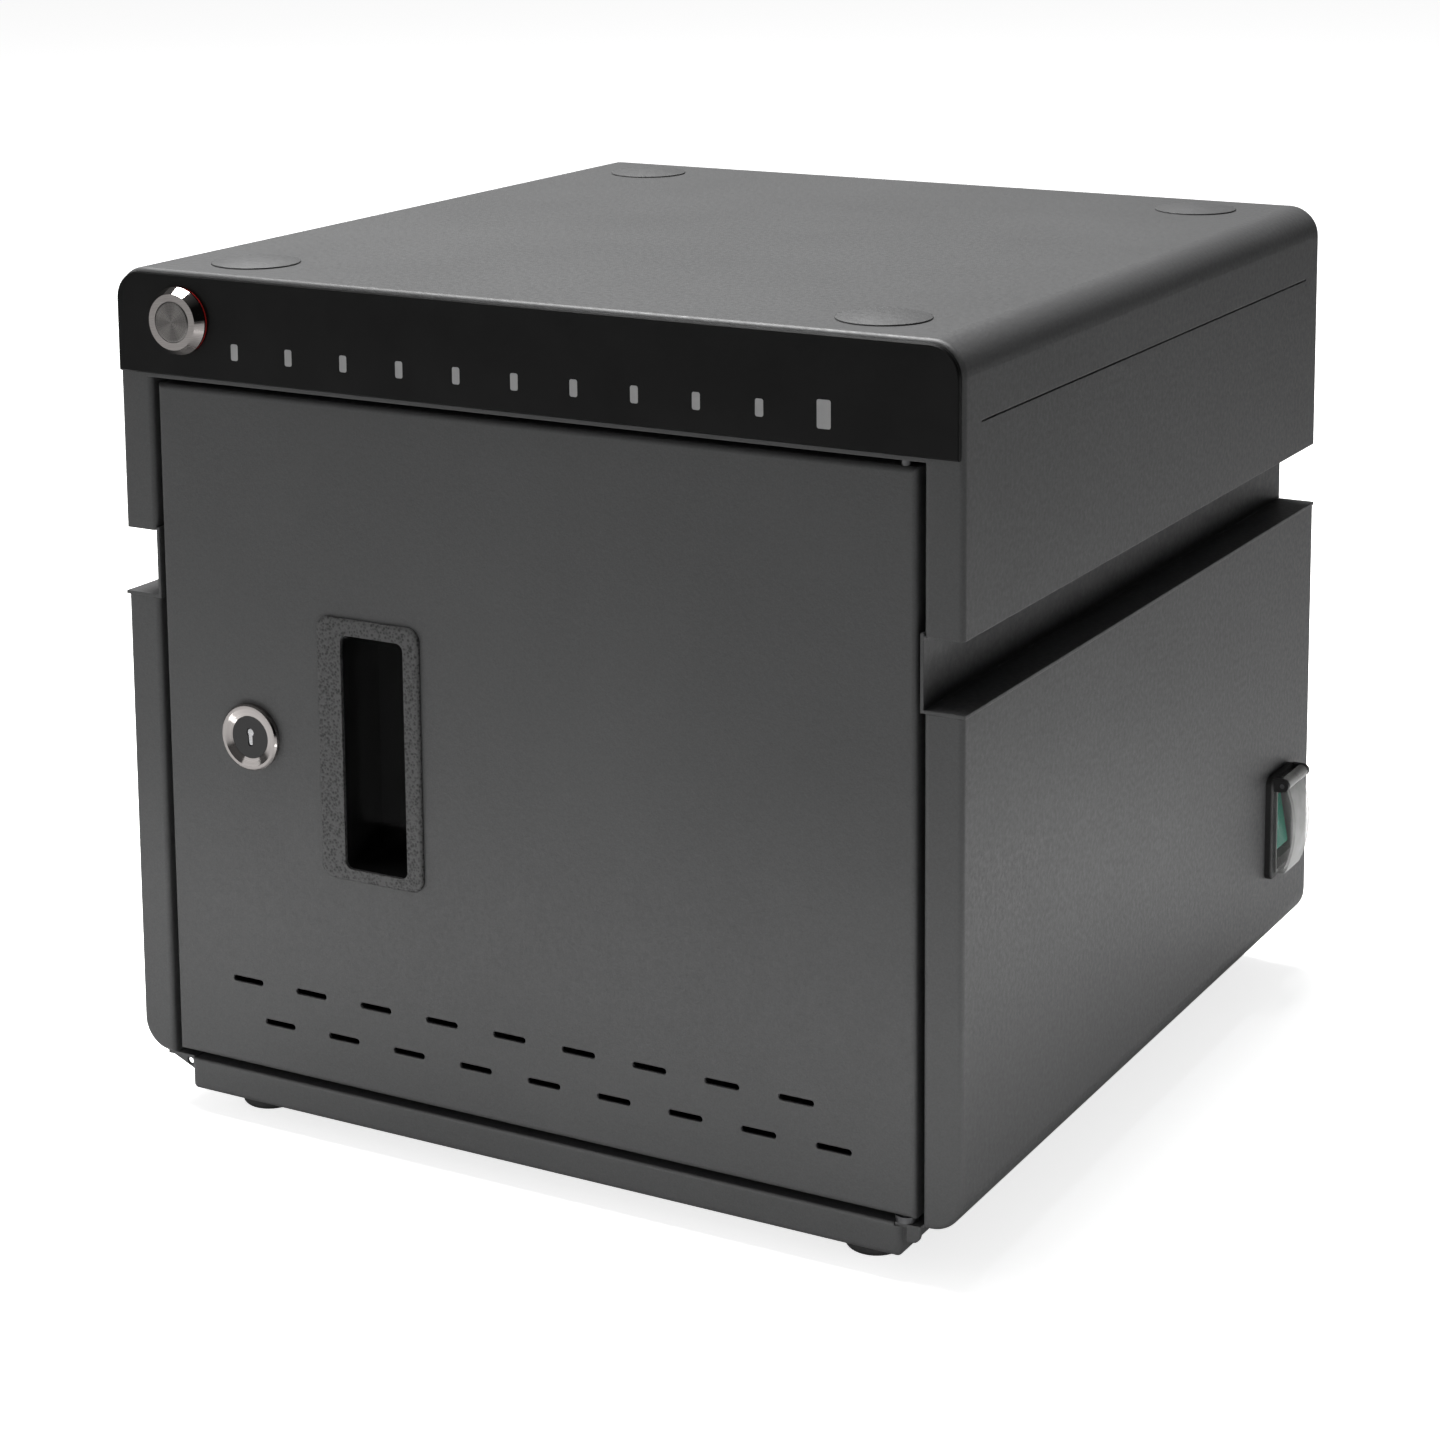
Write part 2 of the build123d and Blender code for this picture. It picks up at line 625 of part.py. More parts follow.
def start_button():
    y0 = -BEZEL_OUT - CAP_PROUD
    cap = rod_y(CAP_R, BUTTON_X, BUTTON_Z, y0, y0 + CAP_L)
    rim = [e for e in cap.edges() if abs(e.center().Y - y0) < 0.01]
    return fillet(rim, CAP_EDGE_R)


def vent_slots():
    slots = []
    for row, z in enumerate((VENT_Z_UPPER, VENT_Z_LOWER)):
        for i in range(VENT_COUNT):
            x = VENT_X0 + row * VENT_ROW_SHIFT + i * VENT_PITCH
            slots.append(prism_y(Pos(x, z) * SlotOverall(VENT_L, VENT_H), -CUT, CUT))
    return slots


def cup_tray_face(grow):
    x_mid = (CUP_OPEN_X0 + CUP_OPEN_X1) / 2
    z_mid = (CUP_OPEN_Z0 + CUP_OPEN_Z1) / 2
    w = CUP_OPEN_X1 - CUP_OPEN_X0 + 2 * grow
    h = CUP_OPEN_Z1 - CUP_OPEN_Z0 + 2 * grow
    return Pos(x_mid, z_mid) * RectangleRounded(w, h, CUP_OPEN_R + grow)


def door_panel():
    door = block(-DOOR_HALF_W, DOOR_HALF_W, 0, DOOR_D, DOOR_Z0, DOOR_Z1)
    front = [e for e in door.edges() if abs(e.center().Y) < 0.01]
    door = fillet(front, BEND_R)
    inner = DOOR_HALF_W - SHEET
    door -= block(-inner, inner, SHEET, DOOR_D + CUT, DOOR_Z0 + SHEET, DOOR_Z1 - SHEET)
    for slot in vent_slots():
        door -= slot
    door -= prism_y(cup_tray_face(CUP_WALL), -CUT, CUT)
    door -= rod_y(LOCK_BODY_R, LOCK_X, LOCK_Z, -CUT, CUT)
    hole_r = PIN_R + RUN_FIT
    door -= rod_z(hole_r, HINGE_X, HINGE_Y, DOOR_Z0 - CUT, DOOR_Z0 + SHEET)
    return door - rod_z(hole_r, HINGE_X, HINGE_Y, DOOR_Z1 - SHEET, DOOR_Z1 + CUT)


def handle_cup():
    w = CUP_X1 - CUP_X0
    h = CUP_Z1 - CUP_Z0
    face = Pos((CUP_X0 + CUP_X1) / 2, (CUP_Z0 + CUP_Z1) / 2) * RectangleRounded(w, h, CUP_FRAME_R)
    frame = prism_y(face, -CUP_FRAME_T, 0)
    rim = [e for e in frame.edges() if abs(e.center().Y + CUP_FRAME_T) < 0.01]
    frame = fillet(rim, CUP_FRAME_ROUND)
    cup = frame + prism_y(cup_tray_face(CUP_WALL), 0, CUP_DEPTH + CUP_WALL)
    return cup - prism_y(cup_tray_face(0), -CUP_FRAME_T - CUT, CUP_DEPTH)


def lock_body():
    y0 = -LOCK_RIM_T
    body = rod_y(LOCK_BODY_R, LOCK_X, LOCK_Z, 0, LOCK_BODY_L)
    body += rod_y(LOCK_RIM_R, LOCK_X, LOCK_Z, y0, 0)
    rim = [e for e in body.edges() if abs(e.center().Y - y0) < 0.01]
    body = chamfer(rim, LOCK_RIM_BEVEL)
    mouth_r = LOCK_RIM_R - LOCK_RIM_FLAT
    face_y = y0 + LOCK_FACE_SINK
    face_bore = LOCK_FACE_R + RUN_FIT
    body -= cone_y(mouth_r, face_bore, LOCK_X, LOCK_Z, y0, face_y)
    body -= rod_y(face_bore, LOCK_X, LOCK_Z, face_y, face_y + LOCK_FACE_T + RUN_FIT)
    return body - rod_y(LOCK_CORE_R + RUN_FIT, LOCK_X, LOCK_Z, 0, LOCK_BODY_L + CUT)


def lock_plug():
    face_y = -LOCK_RIM_T + LOCK_FACE_SINK
    core_end = LOCK_BODY_L + CAM_GAP + CAM_T
    plug = rod_y(LOCK_FACE_R, LOCK_X, LOCK_Z, face_y, face_y + LOCK_FACE_T)
    plug += rod_y(LOCK_CORE_R, LOCK_X, LOCK_Z, face_y, LOCK_BODY_L + CAM_GAP)
    square = LOCK_CORE_R / 2
    plug += block(LOCK_X - square, LOCK_X + square, LOCK_BODY_L, core_end, LOCK_Z - square, LOCK_Z + square)
    y1 = face_y + KEYHOLE_D
    upright = Pos(LOCK_X, LOCK_Z) * Rot(0, 0, 90)
    slot = prism_y(upright * SlotOverall(KEYHOLE_H, KEYHOLE_W), face_y - CUT, y1)
    slot += rod_y(KEYHOLE_EYE_R, LOCK_X, LOCK_Z + KEYHOLE_H / 4, face_y - CUT, y1)
    return plug - slot


def lock_cam():
    y0 = LOCK_BODY_L + CAM_GAP
    arm = Pos(LOCK_X, LOCK_Z - CAM_REACH / 2 + CAM_W / 4) * Rectangle(CAM_W, CAM_REACH + CAM_W / 2)
    arm = fillet(arm.vertices(), CAM_W / 4)
    square = LOCK_CORE_R
    cam = prism_y(arm, y0, y0 + CAM_T)
    half = square / 2
    return cam - block(LOCK_X - half, LOCK_X + half, 0, y0 + CUT, LOCK_Z - half, LOCK_Z + half)


def cam_screw():
    y0 = LOCK_BODY_L + CAM_GAP + CAM_T
    return rod_y(CAM_SCREW_R, LOCK_X, LOCK_Z, y0, y0 + CAM_SCREW_H)


def lock_nut():
    nut = hexagon_y(LOCK_NUT_R, LOCK_X, LOCK_Z, SHEET, SHEET + NUT_T)
    return nut - rod_y(LOCK_BODY_R, LOCK_X, LOCK_Z, 0, SHEET + NUT_T + CUT)


def hinge_pins():
    low = rod_z(PIN_R, HINGE_X, HINGE_Y, -SHEET, PIN_L - SHEET)
    high = rod_z(PIN_R, HINGE_X, HINGE_Y, SHELF_Z - PIN_L, SHELF_Z)
    return [low, high]


def hinge_bracket():
    plate = block(BRACKET_X0, BRACKET_X1, BRACKET_Y0, BRACKET_Y1, -SHEET, 0)
    tab_x = BRACKET_X1 - BRACKET_TAB_W
    tab = block(tab_x, BRACKET_X1, BRACKET_Y0, BRACKET_Y0 + SHEET, -BRACKET_TAB_H, -SHEET / 2)
    low = [e for e in tab.edges().filter_by(Axis.Y) if e.center().Z < -SHEET and e.center().X > tab_x + 1]
    plate += fillet(low, BRACKET_TAB_R)
    return plate - rod_z(PIN_R, HINGE_X, HINGE_Y, -CUT, CUT)


def hinge_washer():
    washer = rod_z(WASHER_R, HINGE_X, HINGE_Y + WASHER_SHIFT, 0, DOOR_Z0 - WASHER_GAP)
    return washer - rod_z(PIN_R, HINGE_X, HINGE_Y, -CUT, CUT)


def back_face(inset):
    upper = rounded_top(inset)
    neck_w = 2 * (NECK_X - inset)
    z0 = LEDGE_UNDER_Z - CUT
    z1 = GRIP_TOP_Z + CUT
    neck = Pos(0, (z0 + z1) / 2) * Rectangle(neck_w, z1 - z0)
    return upper + neck + rounded_bottom(inset, LEDGE_UNDER_Z)


def back_panel():
    panel = prism_y(back_face(BACK_INSET), SHELL_D, BACK_Y)
    for x_mid in (-BACK_VENT_X, BACK_VENT_X):
        for i in range(BACK_VENT_COUNT):
            x = x_mid + (i - (BACK_VENT_COUNT - 1) / 2) * BACK_VENT_PITCH
            slot = Pos(x, BACK_VENT_Z) * Rot(0, 0, 90) * SlotOverall(BACK_VENT_H, BACK_VENT_W)
            panel -= prism_y(slot, SHELL_D - CUT, BACK_Y + CUT)
    half_w = INLET_BODY_W / 2
    half_h = INLET_BODY_H / 2
    z0, z1 = INLET_Z - half_h, INLET_Z + half_h
    panel -= block(INLET_X - half_w, INLET_X + half_w, SHELL_D - CUT, BACK_Y + CUT, z0, z1)
    for hole in rear_screw_holes():
        panel -= hole
    return panel


def back_screw(x, z):
    screw = rod_y(SCREW_R, x, z, SHELL_D - SCREW_REACH, BACK_Y)
    head = rod_y(SCREW_HEAD_R, x, z, BACK_Y, BACK_Y + SCREW_HEAD_H)
    rim = [e for e in head.edges() if abs(e.center().Y - BACK_Y - SCREW_HEAD_H) < 0.01]
    head = fillet(rim, SCREW_HEAD_ROUND)
    for turn in (0, 90):
        bar = Pos(x, z) * Rot(0, 0, turn) * Rectangle(SCREW_CROSS_L, SCREW_CROSS_W)
        head -= prism_y(bar, BACK_Y + SCREW_HEAD_ROUND, BACK_Y + SCREW_HEAD_H + CUT)
    return screw + head


def power_inlet():
    y1 = BACK_Y + INLET_FLANGE_T
    flange_face = Pos(INLET_X, INLET_Z) * RectangleRounded(INLET_FLANGE_W, INLET_FLANGE_H, INLET_CORNER_R)
    inlet = prism_y(flange_face, BACK_Y, y1)
    body = Pos(INLET_X, INLET_Z) * Rectangle(INLET_BODY_W, INLET_BODY_H)
    inlet += prism_y(body, y1 - INLET_BODY_D, BACK_Y)
    cavity = Pos(INLET_X, INLET_Z) * Rectangle(INLET_CAVITY_W, INLET_CAVITY_H)
    low = cavity.vertices().filter_by(lambda v: v.Y < INLET_Z)
    cavity = chamfer(low, INLET_CAVITY_CUT)
    return inlet - prism_y(cavity, y1 - INLET_CAVITY_D, y1 + CUT)


def inlet_pins():
    y0 = BACK_Y + INLET_FLANGE_T - INLET_CAVITY_D
    places = ((-INLET_PIN_X, 0), (0, INLET_EARTH_Z), (INLET_PIN_X, 0))
    pins = []
    for dx, dz in places:
        x, z = INLET_X + dx, INLET_Z + dz
        half_w, half_h = INLET_PIN_W / 2, INLET_PIN_H / 2
        pins.append(block(x - half_w, x + half_w, y0, y0 + INLET_PIN_L, z - half_h, z + half_h))
    return pins


def inlet_screws():
    x_off = (INLET_FLANGE_W + INLET_BODY_W) / 4
    y0 = BACK_Y + INLET_FLANGE_T
    return [rod_y(INLET_SCREW_R, INLET_X + s * x_off, INLET_Z, y0, y0 + INLET_SCREW_H) for s in (-1, 1)]


def switch_frame():
    face = Pos(SWITCH_Y, SWITCH_Z) * RectangleRounded(SWITCH_W, SWITCH_H, SWITCH_CORNER_R)
    x1 = HALF_W + SWITCH_PROUD
    frame = prism_x(face, HALF_W, x1)
    rim = [e for e in frame.edges() if abs(e.center().X - x1) < 0.01]
    frame = fillet(rim, SWITCH_EDGE_R)
    body = Pos(SWITCH_Y, SWITCH_Z) * Rectangle(SWITCH_BODY_W, SWITCH_BODY_H)
    frame += prism_x(body, HALF_W - SWITCH_BODY_IN, HALF_W)
    root_z = COVER_HINGE_Z
    well = Pos(SWITCH_Y, SWITCH_Z) * Rectangle(ROCKER_W + 2 * SWITCH_WELL_GAP, ROCKER_H + 2 * ROCKER_ROOM)
    frame -= prism_x(well, HALF_W - SWITCH_BODY_IN + SWITCH_WELL_FLOOR, x1 + CUT)
    ear_y = COVER_W / 2 + COVER_EAR_GAP
    for s in (-1, 1):
        y0, y1 = sorted((SWITCH_Y + s * ear_y, SWITCH_Y + s * (ear_y + COVER_EAR_W)))
        ear = Pos(COVER_HINGE_X, (y0 + y1) / 2, COVER_HINGE_Z)
        barrel = ear * Rot(90, 0, 0) * Cylinder(COVER_BARREL_R, y1 - y0)
        root = block(x1 - COVER_EAR_LAP, COVER_HINGE_X, y0, y1, root_z - COVER_BARREL_R, root_z + COVER_BARREL_R)
        frame += barrel + root
    axle_hole = Pos(ROCKER_X, SWITCH_Y, SWITCH_Z) * Rot(90, 0, 0)
    frame -= axle_hole * Cylinder(ROCKER_AXLE_R + RUN_FIT, ROCKER_AXLE_L + 2 * RUN_FIT)
    pin_hole = Pos(COVER_HINGE_X, SWITCH_Y, COVER_HINGE_Z) * Rot(90, 0, 0)
    return frame - pin_hole * Cylinder(COVER_PIN_R, SWITCH_W + CUT)


def cover_pin():
    place = Pos(COVER_HINGE_X, SWITCH_Y, COVER_HINGE_Z) * Rot(90, 0, 0)
    return place * Cylinder(COVER_PIN_R, COVER_W + 2 * (COVER_EAR_GAP + COVER_EAR_W))


def switch_rocker():
    # tilted so that the lower end stands out
    pad = Box(ROCKER_T, ROCKER_W, ROCKER_H)
    outer = [e for e in pad.edges().filter_by(Axis.Y) if e.center().X > 0]
    pad = fillet(outer, ROCKER_EDGE_R)
    pad += Rot(90, 0, 0) * Cylinder(ROCKER_AXLE_R, ROCKER_AXLE_L)
    return Pos(ROCKER_X, SWITCH_Y, SWITCH_Z) * Rot(0, -ROCKER_TILT, 0) * pad


def cover_block(grow, x0, x1):
    # bowed block of the cover; grow is how far it stands outside the cover's own size
    half = COVER_W / 2 + grow
    z0 = COVER_HINGE_Z - COVER_DROP - grow
    z1 = COVER_HINGE_Z + grow
    body = block(x0, x1, SWITCH_Y - half, SWITCH_Y + half, z0, z1)
    bow_r = ((COVER_DROP / 2) ** 2 + COVER_BOW**2) / (2 * COVER_BOW) + grow
    place = Pos(x1 - bow_r, SWITCH_Y, (z0 + z1) / 2) * Rot(90, 0, 0)
    body &= place * Cylinder(bow_r, COVER_W + CUT)
    front = [e for e in body.edges() if e.center().X > x1 - COVER_BOW / 2]
    return fillet(front, COVER_ROUND + grow)


def splash_cover():
    x0 = HALF_W + SWITCH_PROUD + COVER_GAP
    x1 = HALF_W + COVER_OUT
    shell = cover_block(0, x0, x1)
    shell -= cover_block(-COVER_WALL, x0 - CUT, x1 - COVER_WALL)
    place = Pos(COVER_HINGE_X, SWITCH_Y, COVER_HINGE_Z) * Rot(90, 0, 0)
    shell += place * Cylinder(COVER_BARREL_R, COVER_W)
    return shell - place * Cylinder(COVER_PIN_R + RUN_FIT, COVER_W + CUT)


def floor_plate():
    plate = block(-FLOOR_HALF_W, FLOOR_HALF_W, BAY_Y0, SHELL_D - FLOOR_BACK_GAP, SHEET, FLOOR_TOP_Z)
    return plate


def equipment_shelf():
    y1 = PARTITION_Y + SHEET
    return block(-FLOOR_HALF_W, FLOOR_HALF_W, HEADER_RETURN_D / 2, y1, SHELF_Z, SHELF_Z + SHEET)


def rear_partition():
    y1 = PARTITION_Y + SHEET
    sheet = block(-FLOOR_HALF_W, FLOOR_HALF_W, PARTITION_Y, y1, FLOOR_TOP_Z, SHELF_Z)
    for i in range(BAY_SLOTS):
        x = slot_centre(i)
        for row in (1, 2):
            place = Pos(x, FLOOR_TOP_Z + row * AIR_SLOT_UP)
            sheet -= prism_y(place * SlotOverall(AIR_SLOT_L, AIR_SLOT_H), PARTITION_Y - CUT, y1 + CUT)
    return sheet


def slot_centre(i):
    pitch = 2 * FLOOR_HALF_W / BAY_SLOTS
    return -FLOOR_HALF_W + (i + 0.5) * pitch


def divider_x():
    pitch = 2 * FLOOR_HALF_W / BAY_SLOTS
    return [-FLOOR_HALF_W + i * pitch for i in range(1, BAY_SLOTS)]


def divider(x):
    z0 = FLOOR_TOP_Z + COMB_BASE
    z1 = z0 + DIVIDER_H
    y_mid = (DIVIDER_Y0 + DIVIDER_Y1) / 2
    face = Pos(y_mid, (z0 + z1) / 2) * Rectangle(DIVIDER_Y1 - DIVIDER_Y0, DIVIDER_H)
    corner = face.vertices().filter_by(lambda v: v.Y > z1 - 1 and v.X < y_mid)
    face = fillet(corner, DIVIDER_CORNER_R)
    return prism_x(face, x - DIVIDER_T / 2, x + DIVIDER_T / 2)


def comb(y):
    half = COMB_D / 2
    top = FLOOR_TOP_Z + COMB_H
    bar = block(-FLOOR_HALF_W, FLOOR_HALF_W, y - half, y + half, FLOOR_TOP_Z, top)
    for x in divider_x():
        x0, x1 = x - DIVIDER_T / 2, x + DIVIDER_T / 2
        bar -= block(x0, x1, y - COMB_D, y + COMB_D, FLOOR_TOP_Z + COMB_BASE, top + CUT)
    return bar


def port_face(i, grow):
    z = STRIP_Z0 + STRIP_H / 2
    r = PORT_H / 2 + grow - 0.01
    return Pos(slot_centre(i), z) * RectangleRounded(PORT_W + 2 * grow, PORT_H + 2 * grow, r)


def port_strip():
    y0 = PARTITION_Y - STRIP_D
    strip = block(-STRIP_HALF_W, STRIP_HALF_W, y0, PARTITION_Y, STRIP_Z0, STRIP_Z0 + STRIP_H)
    front = [e for e in strip.edges() if abs(e.center().Y - y0) < 0.01]
    strip = fillet(front, STRIP_EDGE_R)
    for i in range(BAY_SLOTS):
        strip -= prism_y(port_face(i, PORT_WALL), y0 - CUT, y0 + PORT_D)
    return strip


def usb_port(i):
    y0 = PARTITION_Y - STRIP_D
    shell = prism_y(port_face(i, PORT_WALL), y0 - PORT_LIP, y0 + PORT_D)
    shell -= prism_y(port_face(i, 0), y0 - CUT, y0 + PORT_D - PORT_BACK_T)
    tongue = Pos(slot_centre(i), STRIP_Z0 + STRIP_H / 2) * Rectangle(PORT_W - 2 * PORT_TONGUE_GAP, PORT_TONGUE_T)
    return shell + prism_y(tongue, y0 + PORT_TONGUE_T, y0 + PORT_D - PORT_BACK_T / 2)


def power_supply():
    z0 = FLOOR_TOP_Z
    box = block(SUPPLY_X0, SUPPLY_X1, SUPPLY_Y0, SUPPLY_Y1, z0, z0 + SUPPLY_H)
    upper = [e for e in box.edges() if e.center().Z > z0 + SUPPLY_H - 1]
    box = fillet(upper, BEND_R)
    t = SUPPLY_WALL
    x0, x1 = SUPPLY_X0 + t, SUPPLY_X1 - t
    return box - block(x0, x1, SUPPLY_Y0 + t, SUPPLY_Y1 - t, z0 - CUT, z0 + SUPPLY_H - t)


def board_corners():
    inset = 2 * STANDOFF_R
    xs = (-BOARD_HALF_W + inset, BOARD_HALF_W - inset)
    return [(x, y) for x in xs for y in (BOARD_Y0 + inset, BOARD_Y1 - inset)]


def board_standoffs():
    z0 = SHELF_Z + SHEET
    return [rod_z(STANDOFF_R, x, y, z0, z0 + STANDOFF_H) for x, y in board_corners()]


def control_board():
    z0 = SHELF_Z + SHEET + STANDOFF_H
    board = block(-BOARD_HALF_W, BOARD_HALF_W, BOARD_Y0, BOARD_Y1, z0, z0 + BOARD_T)
    z1 = z0 + BOARD_T
    for x in (-BOARD_HALF_W + CHIP_IN, CHIP_IN):
        board += block(x, x + CHIP_W, BOARD_Y0 + CHIP_IN, BOARD_Y0 + CHIP_IN + CHIP_D, z1, z1 + CHIP_H)
    return board


def save(shape, name):
    solids = shape if isinstance(shape, list) else [shape]
    moved = [Pos(*TO_ORIGIN) * solid for solid in solids]
    result = moved[0] if len(moved) == 1 else Compound(children=moved)
    export_step(result, f"parts/{name}.step")


os.makedirs("parts", exist_ok=True)

NODES = {
    "upper_shell": upper_shell(),
    "left_grip_channel": grip_channel(-1),
    "right_grip_channel": grip_channel(1),
    "left_side_panel": side_panel(-1),
    "right_side_panel": side_panel(1),
    "base_pan": base_pan(),
    "back_panel": back_panel(),
    "floor_plate": floor_plate(),
    "equipment_shelf": equipment_shelf(),
    "rear_partition": rear_partition(),
    "feet": [foot(x, y) for x, y in foot_points()],
    "foot_screws": [foot_screw(x, y) for x, y in foot_points()],
    "top_pads": [top_pad(x, y) for x, y in pad_points()],
    "back_screws": [back_screw(x, z) for x, z in rear_screw_points()],
    "front_fascia": front_fascia(),
    "status_windows": status_windows(),
    "power_window": power_window(),
    "button_ring": button_ring(),
    "button_bezel": button_bezel(),
    "button_nut": button_nut(),
    "start_button": start_button(),
    "door_panel": door_panel(),
    "handle_cup": handle_cup(),
    "lock_body": lock_body(),
    "lock_nut": lock_nut(),
    "lock_plug": lock_plug(),
    "lock_cam": lock_cam(),
    "cam_screw": cam_screw(),
    "hinge_pins": hinge_pins(),
    "hinge_bracket": hinge_bracket(),
    "hinge_washer": hinge_washer(),
    "power_inlet": power_inlet(),
    "inlet_pins": inlet_pins(),
    "inlet_screws": inlet_screws(),
    "switch_frame": switch_frame(),
    "switch_rocker": switch_rocker(),
    "splash_cover": splash_cover(),
    "cover_pin": cover_pin(),
    "slot_dividers": [divider(x) for x in divider_x()],
    "divider_combs": [comb(y) for y in (DIVIDER_Y0 + COMB_IN, DIVIDER_Y1 - COMB_IN)],
    "port_strip": port_strip(),
    "usb_ports": [usb_port(i) for i in range(BAY_SLOTS)],
    "power_supply": power_supply(),
    "board_standoffs": board_standoffs(),
    "control_board": control_board(),
}

for node_name, node_shape in NODES.items():
    save(node_shape, node_name)
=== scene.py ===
import bpy
import bmesh
import json
import math
from mathutils import Matrix, Vector


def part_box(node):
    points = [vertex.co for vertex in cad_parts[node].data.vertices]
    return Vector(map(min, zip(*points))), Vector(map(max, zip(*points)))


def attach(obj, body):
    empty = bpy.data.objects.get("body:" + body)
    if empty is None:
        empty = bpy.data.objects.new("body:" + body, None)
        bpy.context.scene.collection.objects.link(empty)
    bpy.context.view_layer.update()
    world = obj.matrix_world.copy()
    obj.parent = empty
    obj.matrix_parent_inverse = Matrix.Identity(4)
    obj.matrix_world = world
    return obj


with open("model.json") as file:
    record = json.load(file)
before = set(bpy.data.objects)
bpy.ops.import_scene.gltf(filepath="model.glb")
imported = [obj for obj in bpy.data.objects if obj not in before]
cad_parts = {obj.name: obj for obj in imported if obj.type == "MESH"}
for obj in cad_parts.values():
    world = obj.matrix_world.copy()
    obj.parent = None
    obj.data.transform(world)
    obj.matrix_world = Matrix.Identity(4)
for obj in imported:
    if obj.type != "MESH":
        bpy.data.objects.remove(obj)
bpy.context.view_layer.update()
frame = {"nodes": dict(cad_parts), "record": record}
NODES = frame["nodes"]

WHITE = (1.0, 1.0, 1.0)


# Node helpers

class Tree:
    """Short calls for adding and joining nodes in one node tree."""

    def __init__(self, tree):
        self.tree = tree

    def add(self, kind, **values):
        node = self.tree.nodes.new(kind)
        for key, value in values.items():
            setattr(node, key, value)
        return node

    def link(self, out, into):
        self.tree.links.new(out, into)

    def feed(self, socket, value):
        """Set a socket to a number or colour, or join another node's output to it."""
        if isinstance(value, (int, float)):
            socket.default_value = value
        elif isinstance(value, tuple):
            socket.default_value = (*value, 1)
        else:
            self.link(value, socket)

    def span(self, fac, low, high, start=0.0, end=1.0):
        """Carry fac from the range start..end to the range low..high."""
        node = self.add("ShaderNodeMapRange")
        node.inputs["From Min"].default_value = start
        node.inputs["From Max"].default_value = end
        node.inputs["To Min"].default_value = low
        node.inputs["To Max"].default_value = high
        self.link(fac, node.inputs["Value"])
        return node.outputs["Result"]

    def part(self, vector, axis):
        node = self.add("ShaderNodeSeparateXYZ")
        self.link(vector, node.inputs["Vector"])
        return node.outputs[axis]

    def math(self, kind, *values):
        node = self.add("ShaderNodeMath", operation=kind)
        for socket, value in zip(node.inputs, values):
            self.feed(socket, value)
        return node.outputs[0]


class Finish(Tree):
    """One material and the nodes that feed its shader."""

    def __init__(self, name):
        self.mat = bpy.data.materials.new(name)
        self.mat.use_nodes = True
        super().__init__(self.mat.node_tree)
        self.bsdf = self.tree.nodes["Principled BSDF"]

    def coords(self):
        return self.add("ShaderNodeTexCoord").outputs["Object"]

    def noise(self, scale, detail=2.0, rough=0.5, vector=None):
        node = self.add("ShaderNodeTexNoise")
        node.inputs["Scale"].default_value = scale
        node.inputs["Detail"].default_value = detail
        node.inputs["Roughness"].default_value = rough
        self.link(vector or self.coords(), node.inputs["Vector"])
        return node.outputs["Fac"]

    def ramp(self, fac, low, high, pos=(0.3, 0.7)):
        node = self.add("ShaderNodeValToRGB")
        for element, place, colour in zip(node.color_ramp.elements, pos, (low, high)):
            element.position = place
            element.color = (*colour, 1)
        self.link(fac, node.inputs["Fac"])
        return node.outputs["Color"]

    def blend(self, fac, low, high):
        node = self.add("ShaderNodeMix", data_type="RGBA")
        self.link(fac, node.inputs["Factor"])
        self.feed(node.inputs["A"], low)
        self.feed(node.inputs["B"], high)
        return node.outputs["Result"]

    def bump(self, height, strength, distance, normal=None):
        node = self.add("ShaderNodeBump")
        node.inputs["Strength"].default_value = strength
        node.inputs["Distance"].default_value = distance
        self.link(height, node.inputs["Height"])
        if normal is not None:
            self.link(normal, node.inputs["Normal"])
        return node.outputs["Normal"]

    def roughness(self, grain, low, high):
        """Roughness that follows the middle of a noise."""
        self.use("Roughness", self.span(grain, low, high, 0.3, 0.7))

    def set(self, **values):
        for key, value in values.items():
            self.bsdf.inputs[key.replace("_", " ")].default_value = value

    def use(self, socket, out):
        self.link(out, self.bsdf.inputs[socket])


# Kinds of material; lengths are in metres and noise scales in cycles per metre

def even(level):
    return (level,) * 3


def scaled(colour, share):
    return tuple(c * share for c in colour)


def cool(level):
    """A grey with a trace of blue, as the sprayed steel has."""
    return (level, level * 1.005, level * 1.015)


def powder_coat(name, low, high):
    """Sprayed steel: faint clouds, a fine orange peel and slightly softened edges."""
    grain = 1500.0
    edge_radius = 0.0006
    m = Finish(name)
    clouds = m.noise(9.0, detail=3.0, rough=0.6)
    fine = m.noise(grain, rough=0.6)
    peel = m.noise(grain * 0.35)
    shade = m.math("MULTIPLY_ADD", fine, 0.6, m.span(clouds, 0.0, 0.4))
    m.use("Base Color", m.ramp(shade, cool(low), cool(high), pos=(0.25, 0.75)))
    m.roughness(peel, 0.42, 0.56)
    rounded = m.add("ShaderNodeBevel", samples=4)
    rounded.inputs["Radius"].default_value = edge_radius
    normal = m.bump(fine, 0.35, 0.00012, rounded.outputs["Normal"])
    m.use("Normal", m.bump(peel, 0.25, 0.00025, normal))
    m.set(Specular_IOR_Level=0.45)
    return m.mat


def moulded(name, low, high, rough, grain=900.0, strength=0.3, depth=0.0001, shine=0.5):
    """Moulded plastic or rubber with a grain and slow changes of shade."""
    m = Finish(name)
    fine = m.noise(grain)
    m.use("Base Color", m.ramp(m.noise(40.0, detail=3.0), low, high))
    m.roughness(fine, *rough)
    m.use("Normal", m.bump(fine, strength, depth))
    m.set(Specular_IOR_Level=shine)
    return m.mat


